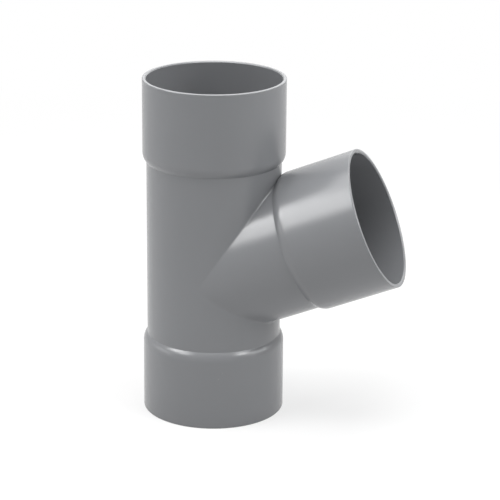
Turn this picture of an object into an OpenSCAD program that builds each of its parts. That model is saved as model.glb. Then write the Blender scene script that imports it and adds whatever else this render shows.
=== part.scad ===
// Branch fitting for cemented drain pipe: one moulding with three plain sockets.
// The run stands along +Z, and the centre of its lower mouth is the origin.
// The branch leaves the run towards +X and rises away from it.
// All three limbs take the same pipe, so their skins and bores meet in flat ellipses.

/* [Pipe] */
// Outer diameter of the pipe that each socket takes
pipe_d = 80; // [50:1:125]
// Gap left all round the pipe for the cement
cement_gap = 0.2; // [0.1:0.05:0.4]

/* [Sockets] */
// Depth of a socket, from its mouth to the stop inside
socket_depth = 42; // [25:1:70]
// Thickness of a socket's wall
socket_wall = 2.3; // [1.8:0.1:4]
// Width of the ledge inside that stops the end of the pipe
stop_ledge = 3; // [2:0.1:4]
// Radius of the ledge's rounded inner edge
ledge_radius = 1; // [0.4:0.1:1.5]
// Radius of the rounded shoulder outside, behind the stop
shoulder_radius = 10; // [5:0.5:16]
// Width of the chamfer that leads the pipe into a mouth
lead_in = 0.6; // [0.3:0.1:1]
// Radius of the rounded outer edge of a mouth
rim_radius = 0.5; // [0.2:0.1:0.8]

/* [Body] */
// Thickness of the wall between the sockets
body_wall = 3; // [2.2:0.1:4.4]
// Angle between the branch and the upper half of the run
branch_angle = 67.5; // [45:0.5:90]
// Length of the run between the branch's skin and the stop above or below it
run_neck = 17; // [12:0.5:60]
// Length of the branch between the upper crotch and its own stop
branch_neck = 5.5; // [3:0.5:60]

/* [Hidden] */
$fn = 96;

// How far a cutter reaches past the face that it cuts
past = 1;

// Radii, from the pipe outwards
socket_bore_r = pipe_d / 2 + cement_gap;
socket_r = socket_bore_r + socket_wall;
body_bore_r = socket_bore_r - stop_ledge;
body_r = body_bore_r + body_wall;

// Distances from the crossing of the axes to the crotch above the branch and to the one below it
upper_crotch = body_r / tan(branch_angle / 2);
lower_crotch = body_r * tan(branch_angle / 2);

// Each limb has its tilt from +Z and the distance of its stop from the crossing of the axes
UPPER = [0, upper_crotch + run_neck];
LOWER = [180, lower_crotch + run_neck];
BRANCH = [branch_angle, upper_crotch + branch_neck];
LIMBS = [UPPER, LOWER, BRANCH];

// What is cut from a square corner at the origin to round it
module corner_cut(radius) {
    difference() {
        translate([-past, -past])
            square(radius + past);
        translate([radius, radius])
            circle(radius);
    }
}

// Half section of a limb's skin: plain body, rounded shoulder, socket and rim
module skin_section(stop) {
    square([body_r, stop]);
    intersection() {
        translate([0, stop - shoulder_radius])
            square([socket_r, shoulder_radius]);
        translate([socket_r - shoulder_radius, stop])
            circle(shoulder_radius);
    }
    difference() {
        translate([0, stop])
            square([socket_r, socket_depth]);
        translate([socket_r, stop + socket_depth])
            rotate(180)
                corner_cut(rim_radius);
    }
}

// Half section of the room inside a limb: waterway, stop with its edge, socket and lead-in
module bore_section(stop) {
    square([body_bore_r, stop + past]);
    translate([body_bore_r, stop])
        mirror([0, 1])
            corner_cut(ledge_radius);
    translate([0, stop])
        square([socket_bore_r, socket_depth]);
    translate([0, stop + socket_depth - lead_in])
        polygon([
            [0, 0],
            [socket_bore_r, 0],
            [socket_bore_r + lead_in + past, lead_in + past],
            [0, lead_in + past],
        ]);
}

// The moulding, with its skins united before any bore is cut
module branch_fitting() {
    color("#77787b")
        translate([0, 0, LOWER[1] + socket_depth])
            difference() {
                union() {
                    for (limb = LIMBS)
                        rotate([0, limb[0], 0])
                            rotate_extrude()
                                skin_section(limb[1]);
                }
                for (limb = LIMBS)
                    rotate([0, limb[0], 0])
                        rotate_extrude()
                            bore_section(limb[1]);
            }
}

branch_fitting();
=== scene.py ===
# %% [markdown]
# # A branch fitting for drain pipe
#
# The object is one injection moulding in grey PVC. A straight run stands upright, a branch of
# the same width leaves it at a slant, and each of the three ends is a plain socket that a pipe
# is cemented into. This script loads the solid model, makes a finer mesh of the same moulding
# with Geometry Nodes, gives it a satin plastic, and lights it as in a small photo studio.

# %% Load the frame
import math

import bpy
from mathutils import Matrix, Vector


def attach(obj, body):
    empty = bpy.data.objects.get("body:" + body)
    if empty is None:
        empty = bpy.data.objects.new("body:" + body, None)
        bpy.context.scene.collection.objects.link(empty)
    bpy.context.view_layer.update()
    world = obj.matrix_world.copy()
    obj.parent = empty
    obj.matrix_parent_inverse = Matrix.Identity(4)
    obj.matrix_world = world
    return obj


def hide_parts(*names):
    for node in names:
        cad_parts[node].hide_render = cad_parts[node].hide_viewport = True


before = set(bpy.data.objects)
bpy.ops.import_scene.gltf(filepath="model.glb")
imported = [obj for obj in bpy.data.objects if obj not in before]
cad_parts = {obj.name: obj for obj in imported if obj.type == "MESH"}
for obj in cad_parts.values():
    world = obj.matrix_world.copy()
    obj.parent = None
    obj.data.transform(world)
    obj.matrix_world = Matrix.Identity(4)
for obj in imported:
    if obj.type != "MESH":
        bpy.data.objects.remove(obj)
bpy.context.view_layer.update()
MM = 0.001


# %% [markdown]
# ## The sizes of the moulding
#
# Everything follows from the pipe. A socket is the pipe plus a gap for the cement plus a wall.
# The stop inside is as wide as the pipe's own wall, so the waterway stays even. The lengths are
# measured from the point where the axes cross, because the three limbs meet there. They could
# be read off the solid, but written like this they show what depends on what.
#
# Outside, a rounded shoulder leads from the body up to the socket. The photograph's outline
# shows that it doesn't end in line with the stop in every limb, so each limb has a setback,
# which is how far behind its stop the shoulder ends.

# %% Driving sizes
PIPE_RADIUS = 40 * MM
CEMENT_GAP = 0.2 * MM
SOCKET_WALL = 2.3 * MM
STOP_LEDGE = 3 * MM
BODY_WALL = 3 * MM
SOCKET_DEPTH = 42 * MM
RUN_NECK = 17 * MM
BRANCH_NECK = 5.5 * MM
BRANCH_ANGLE = math.radians(67.5)

SHOULDER = 8 * MM
UPPER_SETBACK = 2.5 * MM
BRANCH_SETBACK = 1.8 * MM
LOWER_SETBACK = 0 * MM

LEDGE_ROUNDING = 1 * MM
RIM_ROUNDING = 0.5 * MM
LEAD_IN = 0.6 * MM
CREASE_ROUNDING = 0.8 * MM
CROTCH_ROUNDING = 1.3 * MM

# %% Sizes that follow
SOCKET_BORE = PIPE_RADIUS + CEMENT_GAP
SOCKET = SOCKET_BORE + SOCKET_WALL
BODY_BORE = SOCKET_BORE - STOP_LEDGE
BODY = BODY_BORE + BODY_WALL

UPPER_CROTCH = BODY / math.tan(BRANCH_ANGLE / 2)
LOWER_CROTCH = BODY * math.tan(BRANCH_ANGLE / 2)
UPPER_STOP = UPPER_CROTCH + RUN_NECK
LOWER_STOP = LOWER_CROTCH + RUN_NECK
BRANCH_STOP = UPPER_CROTCH + BRANCH_NECK
CROSSING = LOWER_STOP + SOCKET_DEPTH

run_height = UPPER_STOP + LOWER_STOP + 2 * SOCKET_DEPTH
print("socket outside:", round(2 * SOCKET / MM, 2), "mm")
print("run, mouth to mouth:", round(run_height / MM, 2), "mm")

# %% [markdown]
# ## The section of a limb
#
# All three limbs have one section. It starts on the outside where the limbs meet, runs out over
# the shoulder and the socket to the rim, and comes back inside over the lead-in, the socket's
# bore and the stop. A real moulding has no knife edges, so the crease behind the shoulder gets
# a small rounding too. The section could be typed in as points, but drawn from lines and arcs
# it follows its sizes, and a change to it reaches all three limbs.
#
# Each row holds its radius and its distance from the stop or, in the zone "shoulder", from the
# shoulder's end, so that a limb's setback moves those rows alone. `root` is the radius that the
# wall has at the crossing. `share` places a row between the crossing (0) and its own place (1),
# because the body is long on one side of a limb and short on the other. `bend` is for the rows
# that round the crotch, and runs from 0.5 on the line where two limbs meet to 0.

# %% Rows of the section
BEND_ROWS = 5
BODY_SHARES = (0, 0.03, 0.12, 0.25, 0.4, 0.55, 0.7, 0.83, 0.94)

rows = []


def row(radius, distance, zone="socket", share=1.0, bend=0.0):
    """Add one row to the section, from the outside of the crossing to its inside."""
    root = BODY_BORE if zone == "inside" else BODY
    rows.append((radius, distance, root, share, bend, float(zone == "shoulder")))


def arc(centre_radius, centre_distance, size, start, end, steps, zone="socket"):
    """Add an arc of rows; an angle of 0 points away from the axis and 90 to the mouth."""
    for step in range(steps + 1):
        angle = math.radians(start + (end - start) * step / steps)
        row(
            centre_radius + size * math.cos(angle),
            centre_distance + size * math.sin(angle),
            zone,
        )


def crossing_rows(radius, distance, zone):
    """Add the rows of a crotch's rounding and of the plain body, from the meeting line out."""
    for step in range(BEND_ROWS):
        row(radius, distance, zone, share=0, bend=0.5 - 0.5 * step / BEND_ROWS)
    for share in BODY_SHARES:
        row(radius, distance, zone, share=share)


# %% [markdown]
# The shoulder is an arc that starts steep in the crease and ends flat on the socket, as the
# outline and the thin bright spots in the photograph show. The crease's rounding touches the
# straight body and the shoulder's arc. Its centre lies one rounding away from the body, and one
# rounding plus the shoulder's radius from the centre of the shoulder, which gives its place by
# Pythagoras. Rows close to each end of a straight wall hold its shading flat, so that a rounding
# doesn't seem to start early.

# %% Draw the outside of the section
HOLD = 0.35 * MM
OUTER_SHARES = (0.2, 0.45, 0.7)
CREASE_STEPS = 4
SHOULDER_STEPS = 10
RIM_STEPS = 5

crease_radius = BODY + CREASE_ROUNDING
shoulder_radius = SOCKET - SHOULDER
crease_distance = -math.sqrt(
    (SHOULDER + CREASE_ROUNDING) ** 2 - (crease_radius - shoulder_radius) ** 2
)
shoulder_start = math.degrees(math.atan2(crease_distance, crease_radius - shoulder_radius))

crossing_rows(BODY, crease_distance, "shoulder")
arc(
    crease_radius,
    crease_distance,
    CREASE_ROUNDING,
    180,
    180 + shoulder_start,
    CREASE_STEPS,
    "shoulder",
)
arc(shoulder_radius, 0, SHOULDER, shoulder_start, 0, SHOULDER_STEPS, "shoulder")
row(SOCKET, HOLD, "shoulder")
for share in OUTER_SHARES:
    row(SOCKET, SOCKET_DEPTH * share)
row(SOCKET, SOCKET_DEPTH - RIM_ROUNDING - HOLD)
arc(SOCKET - RIM_ROUNDING, SOCKET_DEPTH - RIM_ROUNDING, RIM_ROUNDING, 0, 90, RIM_STEPS)
print("rows outside:", len(rows))
print("the shoulder starts", round(-crease_distance / MM, 2), "mm before its end")

# %% Draw the inside of the section
INNER_SHARES = (0.97, 0.75, 0.5, 0.25, 0.03)
LEDGE_STEPS = 6

row(SOCKET_BORE + LEAD_IN, SOCKET_DEPTH, "inside")
row(SOCKET_BORE, SOCKET_DEPTH - LEAD_IN, "inside")
for share in INNER_SHARES:
    row(SOCKET_BORE, SOCKET_DEPTH * share, "inside")
row(SOCKET_BORE, 0, "inside")
row(BODY_BORE + LEDGE_ROUNDING + HOLD, 0, "inside")
arc(
    BODY_BORE + LEDGE_ROUNDING,
    -LEDGE_ROUNDING,
    LEDGE_ROUNDING,
    90,
    180,
    LEDGE_STEPS,
    "inside",
)

inner_start = len(rows)
crossing_rows(BODY_BORE, -LEDGE_ROUNDING, "inside")
rows[inner_start:] = reversed(rows[inner_start:])
print("rows in all:", len(rows))

# %% [markdown]
# The rows become the vertices of a small mesh that the node tree can read: radius, root and
# distance are the position, and the other three numbers are an attribute beside it.

# %% Section mesh
section = bpy.data.meshes.new("section")
points = [(radius, root, distance) for radius, distance, root, *_ in rows]
section.from_pydata(points, [], [])
rule = section.attributes.new("rule", "FLOAT_VECTOR", "POINT")
for point, (*_, share, bend, shoulder) in zip(rule.data, rows):
    point.vector = (share, bend, shoulder)
print("vertices in the section:", len(section.vertices))

# %% [markdown]
# ## Sums that become nodes
#
# A node tree can hold a formula, but a page of separate Math nodes is hard to read. This small
# class writes each sum as plain arithmetic and adds the Math node behind it. The materials
# later use the same class.


# %% A number inside a node tree
class Number:
    """An output socket that adds Math nodes when it is used in a sum."""

    def __init__(self, tree, socket):
        self.tree = tree
        self.socket = socket

    def calc(self, operation, *others):
        """Add one Math node that takes this number first, and return its result."""
        node = add(self.tree, "ShaderNodeMath", self, *others, operation=operation)
        return Number(self.tree, node.outputs[0])

    def __add__(self, other):
        return self.calc("ADD", other)

    def __sub__(self, other):
        return self.calc("SUBTRACT", other)

    def __mul__(self, other):
        return self.calc("MULTIPLY", other)

    def __truediv__(self, other):
        return self.calc("DIVIDE", other)

    def between(self, low, high):
        """Keep the number from going below or above the two limits."""
        return self.calc("MAXIMUM", low).calc("MINIMUM", high)


# %% Helpers for node trees
def add(tree, kind, *values, **settings):
    """Add a node, set or link its inputs in their order, and return it."""
    node = tree.nodes.new(kind)
    for name, value in settings.items():
        setattr(node, name, value)
    for entry, value in zip(node.inputs, values):
        if isinstance(value, Number):
            value = value.socket
        if isinstance(value, bpy.types.NodeSocket):
            tree.links.new(value, entry)
        else:
            entry.default_value = value
    return node


def parts(tree, vector):
    """Split a vector socket into its three numbers."""
    split = add(tree, "ShaderNodeSeparateXYZ", vector)
    return [Number(tree, output) for output in split.outputs]


def new_group(name, inputs):
    """Start a geometry node group and return it with its inputs by name."""
    tree = bpy.data.node_groups.new(name, "GeometryNodeTree")
    for title, kind in inputs.items():
        tree.interface.new_socket(title, in_out="INPUT", socket_type="NodeSocket" + kind)
    tree.interface.new_socket("Mesh", in_out="OUTPUT", socket_type="NodeSocketGeometry")
    entry = tree.nodes.new("NodeGroupInput")
    return tree, {title: Number(tree, entry.outputs[title]) for title in inputs}


# %% [markdown]
# ## One limb, turned from its section
#
# A lathe would do for a plain socket, but here the inner ends of the limbs have to meet each
# other exactly. Cylinders of one width whose axes cross meet in a flat ellipse, on the plane
# halfway between the two axes. So the start of each column is known: its offset towards the
# neighbour, divided by the tangent of half the angle between them. A grid with one row of
# points for each row of the section is bent into the limb by that rule, and the edges of two
# neighbours fall on the same points and can be merged. A boolean would give the same shape,
# but its long thin faces would spoil the shading along the crotch.

# %% Node group for a limb
limb, given = new_group(
    "limb",
    {
        "Section": "Geometry",
        "Columns": "Int",
        "Stop": "Float",
        "Setback": "Float",
        "Tilt": "Float",
        "Angle ahead": "Float",
        "Angle behind": "Float",
        "Crotch": "Float",
        "Socket radius": "Float",
        "Shoulder radius": "Float",
    },
)
count = add(limb, "GeometryNodeAttributeDomainSize", given["Section"]).outputs["Point Count"]
columns_and_seam = given["Columns"] + 1
grid = add(limb, "GeometryNodeMeshGrid", 1.0, 1.0, count, columns_and_seam)

index = Number(limb, add(limb, "GeometryNodeInputIndex").outputs[0])
row_number = ((index + 0.5) / columns_and_seam).calc("FLOOR")
column = index - row_number * columns_and_seam
turn = column / given["Columns"] * math.tau
cosine = turn.calc("COSINE")
sine = turn.calc("SINE")
print("inputs of a limb:", ", ".join(given))


# %% Read the section inside the group
def sampled(field):
    """Read a vector from the section's row that a grid point belongs to."""
    node = limb.nodes.new("GeometryNodeSampleIndex")
    node.data_type = "FLOAT_VECTOR"
    limb.links.new(given["Section"].socket, node.inputs["Geometry"])
    limb.links.new(field, node.inputs["Value"])
    limb.links.new(row_number.socket, node.inputs["Index"])
    return parts(limb, node.outputs[0])


named = limb.nodes.new("GeometryNodeInputNamedAttribute")
named.data_type = "FLOAT_VECTOR"
named.inputs["Name"].default_value = rule.name
radius, root, distance = sampled(add(limb, "GeometryNodeInputPosition").outputs[0])
share, bend, shoulder = sampled(named.outputs[0])

# %% [markdown]
# The next cell is the rule itself. `side` is 1 on the half that faces the limb ahead and -1 on
# the other. The branch's shoulder begins right in the upper crotch, so the rows that would lie
# behind the crotch slide out along the shoulder's own arc.
#
# The crotch's rounding is a curve with three control points: one on this limb, one on the
# meeting line and one on the neighbour. Each limb makes its own half. Towards the two sides of
# the fitting, where the walls meet without an edge, the rounding fades out.

# %% Where a column starts
FADE = 0.15

offset = cosine.calc("ABSOLUTE")
side = cosine.calc("SIGN")
faces_ahead = cosine.calc("GREATER_THAN", 0.0)
angle = given["Angle behind"] + faces_ahead * (given["Angle ahead"] - given["Angle behind"])

reach = given["Crotch"] * (offset / FADE).calc("MINIMUM", 1.0)
meeting = root * offset / (angle * 0.5).calc("TANGENT")
start = meeting + reach

# %% Where a point of the column lies
shoulder_end = given["Stop"] - given["Setback"]
own_place = distance + given["Stop"] - shoulder * given["Setback"]
along = (start + share * (own_place - start)).calc("MAXIMUM", start)

before_end = (shoulder_end - along).calc("MAXIMUM", 0.0)
height_squared = given["Shoulder radius"].calc("POWER", 2.0) - before_end * before_end
shoulder_height = height_squared.calc("MAXIMUM", 0.0).calc("SQRT")
shoulder_skin = given["Socket radius"] - given["Shoulder radius"] + shoulder_height
width = radius.calc("MAXIMUM", shoulder_skin * shoulder)

# %% Bend the rows next to the meeting line
width = root + (width - root) * (bend * -2.0 + 1.0)
on_limb = (bend * -1.0 + 1.0).calc("POWER", 2.0)
on_neighbour = bend * bend * reach

x = width * cosine + on_neighbour * angle.calc("SINE") * side
y = width * sine
z = meeting + (along - meeting) * on_limb + on_neighbour * angle.calc("COSINE")

# %% Tilt the limb and close the group
local = add(limb, "ShaderNodeCombineXYZ", x, y, z)
tilted = add(limb, "ShaderNodeVectorRotate", local.outputs[0], rotation_type="Y_AXIS")
limb.links.new(given["Tilt"].socket, tilted.inputs["Angle"])
placed = add(limb, "GeometryNodeSetPosition", grid.outputs["Mesh"])
limb.links.new(tilted.outputs[0], placed.inputs["Position"])

# Rolled up this way, the grid's faces point into the wall, so they are turned round.
outward = add(limb, "GeometryNodeFlipFaces", placed.outputs[0])
add(limb, "NodeGroupOutput", outward.outputs[0])
print("nodes in a limb:", len(limb.nodes))

# %% [markdown]
# ## Three limbs make the fitting
#
# Going round from the upper limb over the branch to the lower limb, each limb has a neighbour
# ahead and one behind. The three angles between them are the branch's angle, what is left of a
# half turn, and the half turn at the back, where upper and lower limb simply continue each
# other. The limbs are joined, moved up to the height of the crossing, and merged. Edges that
# turn by more than the limit stay sharp, such as those of the flat rim.

# %% Node group for the whole fitting
fitting, wanted = new_group(
    "branch fitting",
    {
        "Section": "Geometry",
        "Columns": "Int",
        "Branch angle": "Float",
        "Upper stop": "Float",
        "Upper setback": "Float",
        "Branch stop": "Float",
        "Branch setback": "Float",
        "Lower stop": "Float",
        "Lower setback": "Float",
        "Crotch": "Float",
        "Socket radius": "Float",
        "Shoulder radius": "Float",
        "Crossing height": "Float",
        "Sharp angle": "Float",
        "Plastic": "Material",
    },
)
upper_angle = wanted["Branch angle"]
lower_angle = upper_angle * -1.0 + math.pi
limbs = [
    ("Upper", 0.0, upper_angle, math.pi),
    ("Branch", upper_angle, lower_angle, upper_angle),
    ("Lower", math.pi, math.pi, lower_angle),
]

joined = fitting.nodes.new("GeometryNodeJoinGeometry")
for title, tilt, angle_ahead, angle_behind in limbs:
    one_limb = add(
        fitting,
        "GeometryNodeGroup",
        wanted["Section"],
        wanted["Columns"],
        wanted[title + " stop"],
        wanted[title + " setback"],
        tilt,
        angle_ahead,
        angle_behind,
        wanted["Crotch"],
        wanted["Socket radius"],
        wanted["Shoulder radius"],
        node_tree=limb,
    )
    fitting.links.new(one_limb.outputs[0], joined.inputs[0])
print("inputs of the fitting:", ", ".join(wanted))

# %% Merge, shade and finish the fitting
MERGE = 0.004 * MM

lift = add(fitting, "ShaderNodeCombineXYZ", 0.0, 0.0, wanted["Crossing height"])
raised = add(fitting, "GeometryNodeTransform", joined.outputs[0], lift.outputs[0])
merged = add(fitting, "GeometryNodeMergeByDistance", raised.outputs[0])
merged.inputs["Distance"].default_value = MERGE

smooth = add(fitting, "GeometryNodeSetShadeSmooth", merged.outputs[0], domain="FACE")
turned = Number(fitting, add(fitting, "GeometryNodeInputMeshEdgeAngle").outputs[0])
sharp = turned.calc("GREATER_THAN", wanted["Sharp angle"])
shaded = add(
    fitting, "GeometryNodeSetShadeSmooth", smooth.outputs[0], sharp, False, domain="EDGE"
)

real = add(fitting, "GeometryNodeRealizeInstances", shaded.outputs[0])
dressed = add(fitting, "GeometryNodeSetMaterial", real.outputs[0])
fitting.links.new(wanted["Plastic"].socket, dressed.inputs["Material"])
add(fitting, "NodeGroupOutput", dressed.outputs[0])
print("nodes in the fitting:", len(fitting.nodes))

# %% [markdown]
# ## The plastic
#
# Rigid PVC comes out of the mould satin, in one even grey with a trace of blue. A plain colour
# and a plain gloss would look like a drawing. What the real skin adds is small: the tone drifts
# a little where the melt flowed, the gloss isn't quite the same everywhere, and the wall is
# never perfectly even. All of it is noise in the object's own coordinates, so it stays on the
# moulding from every side, and each `SCALE` counts features to the metre.


# %% Start the material
def fresh_tree(owner):
    """Switch on the nodes of a material or a world, and return its emptied tree."""
    owner.use_nodes = True
    owner.node_tree.nodes.clear()
    return owner.node_tree


PVC_IOR = 1.52

plastic = bpy.data.materials.new("satin_pvc")
shade = fresh_tree(plastic)
pvc = shade.nodes.new("ShaderNodeBsdfPrincipled")
pvc.inputs["IOR"].default_value = PVC_IOR
add(shade, "ShaderNodeOutputMaterial", pvc.outputs[0])
place = shade.nodes.new("ShaderNodeTexCoord").outputs["Object"]


def noise(scale, detail=2, roughness=0.5, stretch=(1, 1, 1)):
    """Add a noise pattern, and return its height above or below its middle, up to a half."""
    mapping = add(shade, "ShaderNodeMapping", place)
    mapping.inputs["Scale"].default_value = stretch
    pattern = add(shade, "ShaderNodeTexNoise", mapping.outputs[0])
    pattern.inputs["Scale"].default_value = scale
    pattern.inputs["Detail"].default_value = detail
    pattern.inputs["Roughness"].default_value = roughness
    return Number(shade, pattern.outputs["Fac"]) - 0.5


# %% [markdown]
# The melt enters at one end and flows along the run, so its drift of tone is drawn out upwards.
# A much finer grain stands for the pigment. Both only scale the grey, so the hue stays.

# %% Tone of the plastic
PVC_GREY = (0.147, 0.151, 0.158)
FLOW_SCALE = 14
FLOW_STRETCH = (1, 1, 0.35)
FLOW_DRIFT = 0.10
GRAIN_SCALE = 2600
GRAIN_DRIFT = 0.05

flow = noise(FLOW_SCALE, 3, 0.55, FLOW_STRETCH)
grain = noise(GRAIN_SCALE)
tone = flow * FLOW_DRIFT + grain * GRAIN_DRIFT + 1.0
tint = add(shade, "ShaderNodeVectorMath", PVC_GREY, operation="SCALE")
shade.links.new(tone.socket, tint.inputs["Scale"])
shade.links.new(tint.outputs[0], pvc.inputs["Base Color"])
drift = (FLOW_DRIFT + GRAIN_DRIFT) / 2
print("the grey drifts by at most", round(drift * 100, 1), "per cent")

# %% [markdown]
# The mould's polish and the cooling of the skin set the gloss. It varies with the flow and with
# a cloudier haze, which softens the lamp's reflection here and there.

# %% Gloss of the plastic
SATIN = 0.25
FLOW_DULLING = 0.08
HAZE_SCALE = 60
HAZE_DULLING = 0.06

haze = noise(HAZE_SCALE, 4, 0.6)
gloss = flow * FLOW_DULLING + haze * HAZE_DULLING + SATIN
shade.links.new(gloss.socket, pvc.inputs["Roughness"])
print("roughness:", SATIN, "give or take", (FLOW_DULLING + HAZE_DULLING) / 2)

# %% [markdown]
# The relief is added up as one height in metres. The wall sinks by a few hundredths of a
# millimetre over some centimetres as it shrinks, and ripples by less than that over some
# millimetres, so a lamp's reflection gets the slightly wavy edge of moulded plastic. A raised
# parting line, four tenths wide and three hundredths high, runs round the fitting where the two
# halves of the mould met. Geometry could carry these too, but they are far below a pixel.

# %% Relief of the plastic
SINK_SCALE = 38
SINK = 0.16 * MM
RIPPLE_SCALE = 150
RIPPLE = 0.04 * MM
GRAIN = 0.004 * MM
PARTING_HEIGHT = 0.03 * MM
PARTING_HALF_WIDTH = 0.22 * MM

skin = noise(SINK_SCALE) * SINK + noise(RIPPLE_SCALE) * RIPPLE + grain * GRAIN
from_parting = parts(shade, place)[1].calc("ABSOLUTE")
parting = (from_parting / -PARTING_HALF_WIDTH + 1.0).calc("MAXIMUM", 0.0)
relief = skin + parting * PARTING_HEIGHT
bump = shade.nodes.new("ShaderNodeBump")
bump.inputs["Distance"].default_value = 1.0
shade.links.new(relief.socket, bump.inputs["Height"])
shade.links.new(bump.outputs[0], pvc.inputs["Normal"])
print("nodes in the plastic:", len(shade.nodes))

# %% [markdown]
# ## Make the moulding
#
# The section goes into an object that carries nothing but the node tree. Its inputs are set by
# their identifiers before the tree is first worked out. The result is then turned into a plain
# mesh and the modifier goes, so what is left is an ordinary piece that stands for the CAD node.

# %% Hang the node tree on the section
COLUMNS = 240
SHARP_ANGLE = math.radians(24)

piece = bpy.data.objects.new("moulding", section)
bpy.context.scene.collection.objects.link(piece)
modifier = piece.modifiers.new("branch fitting", "NODES")
modifier.node_group = fitting
settings = {
    "Columns": COLUMNS,
    "Branch angle": BRANCH_ANGLE,
    "Upper stop": UPPER_STOP,
    "Upper setback": UPPER_SETBACK,
    "Branch stop": BRANCH_STOP,
    "Branch setback": BRANCH_SETBACK,
    "Lower stop": LOWER_STOP,
    "Lower setback": LOWER_SETBACK,
    "Crotch": CROTCH_ROUNDING,
    "Socket radius": SOCKET,
    "Shoulder radius": SHOULDER,
    "Crossing height": CROSSING,
    "Sharp angle": SHARP_ANGLE,
    "Plastic": plastic,
}
for item in fitting.interface.items_tree:
    if item.in_out == "INPUT" and item.name in settings:
        modifier[item.identifier] = settings[item.name]
        print(item.identifier, "is", item.name)

# %% Turn the result into a plain mesh
graph = bpy.context.evaluated_depsgraph_get()
shell = bpy.data.meshes.new_from_object(piece.evaluated_get(graph), depsgraph=graph)
shell.name = "moulding"
piece.modifiers.clear()
piece.data = shell

# Set Material leaves an empty slot in front of its own, so the slots are filled anew.
shell.materials.clear()
shell.materials.append(plastic)
shell.polygons.foreach_set("material_index", [0] * len(shell.polygons))
print("faces:", len(shell.polygons))

# %% [markdown]
# A closed mesh whose faces point outwards has a positive volume, the sum over its faces of the
# thin pyramids from the origin. Set beside the solid's, it checks three things at once: that no
# wall is missing, that no face is turned round, and that the sizes agree. It comes out one per
# cent larger, because two of the shoulders start further behind their stops than the solid's
# do, and because the creases and crotches are filled with roundings.


# %% Check the moulding
def volume(mesh):
    """Return the volume that a closed mesh encloses, which is negative if it is inside out."""
    mesh.calc_loop_triangles()
    total = 0.0
    for triangle in mesh.loop_triangles:
        a, b, c = (mesh.vertices[corner].co for corner in triangle.vertices)
        total += a.dot(b.cross(c)) / 6
    return total


CUBIC_CM = 1e-6

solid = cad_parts["branch_fitting"].data
print("volume of the solid:", round(volume(solid) / CUBIC_CM, 1), "cubic cm")
print("volume of the mesh:", round(volume(shell) / CUBIC_CM, 1), "cubic cm")
print("triangles:", len(shell.loop_triangles))
open_edges = len(shell.edges) * 2 - sum(len(face.vertices) for face in shell.polygons)
print("edges without two faces:", open_edges)

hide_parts("branch_fitting")
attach(piece, "root")

# %% [markdown]
# ## Floor and background
#
# The fitting stands on a plain white table that fades into the background. A curved backdrop
# would do it as in a studio, but then more light would be needed to turn it white. Here the
# table's brightness is only added for what the camera or a reflection sees, so the object is
# lit by the lamps and the pale table alone. Near the object a share of the table's own shading
# stays, which holds the shadow.


# %% Rays that see the background
def seen_rays(tree):
    """Return 1 for rays from the camera, from a gloss or through glass, and 0 for others."""
    path = tree.nodes.new("ShaderNodeLightPath")
    camera = Number(tree, path.outputs["Is Camera Ray"])
    glossy = Number(tree, path.outputs["Is Glossy Ray"])
    through = Number(tree, path.outputs["Is Transmission Ray"])
    return camera.calc("MAXIMUM", glossy).calc("MAXIMUM", through)


# %% Floor
FLOOR_HALF = 4.0

signs = ((-1, -1), (1, -1), (1, 1), (-1, 1))
corners = [(across * FLOOR_HALF, deep * FLOOR_HALF, 0) for across, deep in signs]
floor_mesh = bpy.data.meshes.new("floor")
floor_mesh.from_pydata(corners, [], [(0, 1, 2, 3)])
floor = bpy.data.objects.new("floor", floor_mesh)
bpy.context.scene.collection.objects.link(floor)
print("floor:", 2 * FLOOR_HALF, "m wide")

# %% White of the floor
PAPER = (0.65, 0.65, 0.65, 1.0)
WHITE = (1.0, 1.0, 1.0, 1.0)
TABLE_GLOW = 1.0
SHADOW_SHARE = 0.35
FADE_START = 0.25
FADE_END = 0.8

paper = bpy.data.materials.new("white_table")
tree = fresh_tree(paper)
matte = add(tree, "ShaderNodeBsdfDiffuse", PAPER)
glow = add(tree, "ShaderNodeEmission", WHITE, TABLE_GLOW)

spot = tree.nodes.new("ShaderNodeTexCoord").outputs["Object"]
from_middle = add(tree, "ShaderNodeVectorMath", spot, operation="LENGTH").outputs["Value"]
faded = (Number(tree, from_middle) - FADE_START) / (FADE_END - FADE_START)
shadow = (faded.between(0.0, 1.0) * -1.0 + 1.0) * SHADOW_SHARE
seen = seen_rays(tree) * (shadow * -1.0 + 1.0)
mixed = add(tree, "ShaderNodeMixShader", seen, matte.outputs[0], glow.outputs[0])
add(tree, "ShaderNodeOutputMaterial", mixed.outputs[0])
floor_mesh.materials.append(paper)
print("the shadow fades out", FADE_END, "m from the middle")

# %% World
world = bpy.data.worlds.new("studio")
bpy.context.scene.world = world
tree = fresh_tree(world)
sky = add(tree, "ShaderNodeBackground", WHITE, seen_rays(tree))
add(tree, "ShaderNodeOutputWorld", sky.outputs[0])

# %% [markdown]
# ## Lamps
#
# The gloss on the branch and the two bright spots on the lower shoulder tell where the strong
# lamps stood: two narrow soft boxes to the left of the camera and a small one to its right, all
# above the object. The other boxes are wider and weaker. They stand for the pale walls and
# ceiling of the room, and keep the sides, the back and the branch's upper side from going dark.
# A lamp's power is worked out from the brightness of its face, so that its size can change
# without making its reflection brighter.

# %% Soft boxes
CENTRE = Vector((0.02, 0, 0.1))


def soft_box(name, azimuth, elevation, distance, width, height, brightness):
    """Hang a lamp that faces the object; azimuth 0 is the front, 90 the branch's side."""
    turn = math.radians(azimuth)
    rise = math.radians(elevation)
    away = Vector(
        (math.sin(turn) * math.cos(rise), -math.cos(turn) * math.cos(rise), math.sin(rise))
    )
    lamp = bpy.data.lights.new(name, "AREA")
    lamp.shape = "RECTANGLE"
    lamp.size = width
    lamp.size_y = height
    lamp.energy = brightness * width * height * math.pi
    thing = bpy.data.objects.new(name, lamp)
    thing.location = CENTRE + away * distance
    thing.rotation_euler = away.to_track_quat("Z", "Y").to_euler()
    bpy.context.scene.collection.objects.link(thing)
    print(name, "power:", round(lamp.energy, 1), "W")


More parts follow.
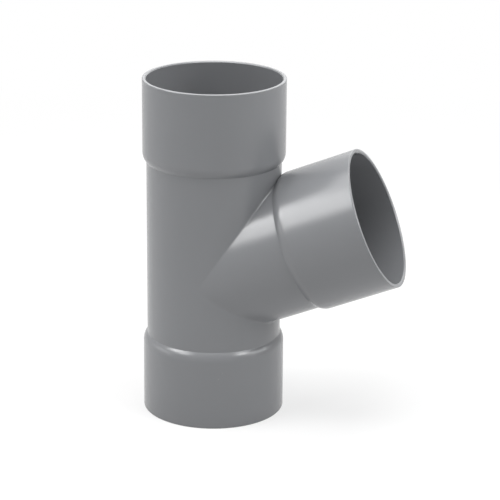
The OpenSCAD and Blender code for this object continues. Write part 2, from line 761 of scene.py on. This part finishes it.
# Name, azimuth, elevation, distance, width, height and brightness of each lamp
BOXES = [
    ("left box", -40, 36, 1.4, 0.36, 0.5, 9.0),
    ("left side box", -62, 39, 1.4, 0.4, 0.5, 12.0),
    ("upper left box", -85, 55, 1.4, 0.7, 0.55, 3.5),
    ("low left box", -75, 8, 1.4, 0.9, 0.35, 2.0),
    ("right box", 66, 36, 1.4, 0.36, 0.42, 14.0),
    ("right wall", 95, 30, 1.5, 1.0, 1.1, 4.0),
    ("ceiling", 0, 89, 1.3, 1.0, 1.0, 5.8),
    ("upper front box", 13, 65, 1.4, 0.6, 0.5, 2.4),
    ("upper back box", 165, 62, 1.5, 0.9, 0.9, 1.0),
    ("back wall", 180, 35, 1.6, 1.3, 1.2, 1.2),
]
for box in BOXES:
    soft_box(*box)

# %% [markdown]
# ## Camera
#
# The camera stands at the photograph's place: a little to the branch's side, looking slightly
# down through a long lens. Its place is written as an orbit round a point on the run's axis,
# with a small shift of both camera and aim so that the object sits in the frame as it does in
# the photograph.

# %% Camera
AZIMUTH = math.radians(13.8)
ELEVATION = math.radians(18.5)
ROLL = math.radians(0.5)
CAMERA_DISTANCE = 1270 * MM
SHIFT_RIGHT = 21.7 * MM
SHIFT_UP = -1.5 * MM
AIM = Vector((0, 0, 100 * MM))
IMAGE_SIZE = 500
FOCAL_LENGTH_IN_PIXELS = 2113
SENSOR_WIDTH = 36

back = Vector(
    (
        math.sin(AZIMUTH) * math.cos(ELEVATION),
        -math.cos(AZIMUTH) * math.cos(ELEVATION),
        math.sin(ELEVATION),
    )
)
level = Vector((math.cos(AZIMUTH), math.sin(AZIMUTH), 0))
upright = back.cross(level)
right = level * math.cos(ROLL) + upright * math.sin(ROLL)
up = upright * math.cos(ROLL) - level * math.sin(ROLL)
standpoint = AIM + back * CAMERA_DISTANCE + right * SHIFT_RIGHT + up * SHIFT_UP

lens = bpy.data.cameras.new("camera")
lens.sensor_fit = "HORIZONTAL"
lens.sensor_width = SENSOR_WIDTH
lens.lens = SENSOR_WIDTH * FOCAL_LENGTH_IN_PIXELS / IMAGE_SIZE
camera = bpy.data.objects.new("camera", lens)
facing = Matrix((right, up, back)).transposed().to_4x4()
camera.matrix_world = Matrix.Translation(standpoint) @ facing
bpy.context.scene.collection.objects.link(camera)
bpy.context.scene.camera = camera
print("lens:", round(lens.lens, 1), "mm, camera height:", round(standpoint.z / MM), "mm")

# %% [markdown]
# ## Colours as they are
#
# The standard view shows a colour as it is written, without a film look.

# %% View
bpy.context.scene.view_settings.view_transform = "Standard"
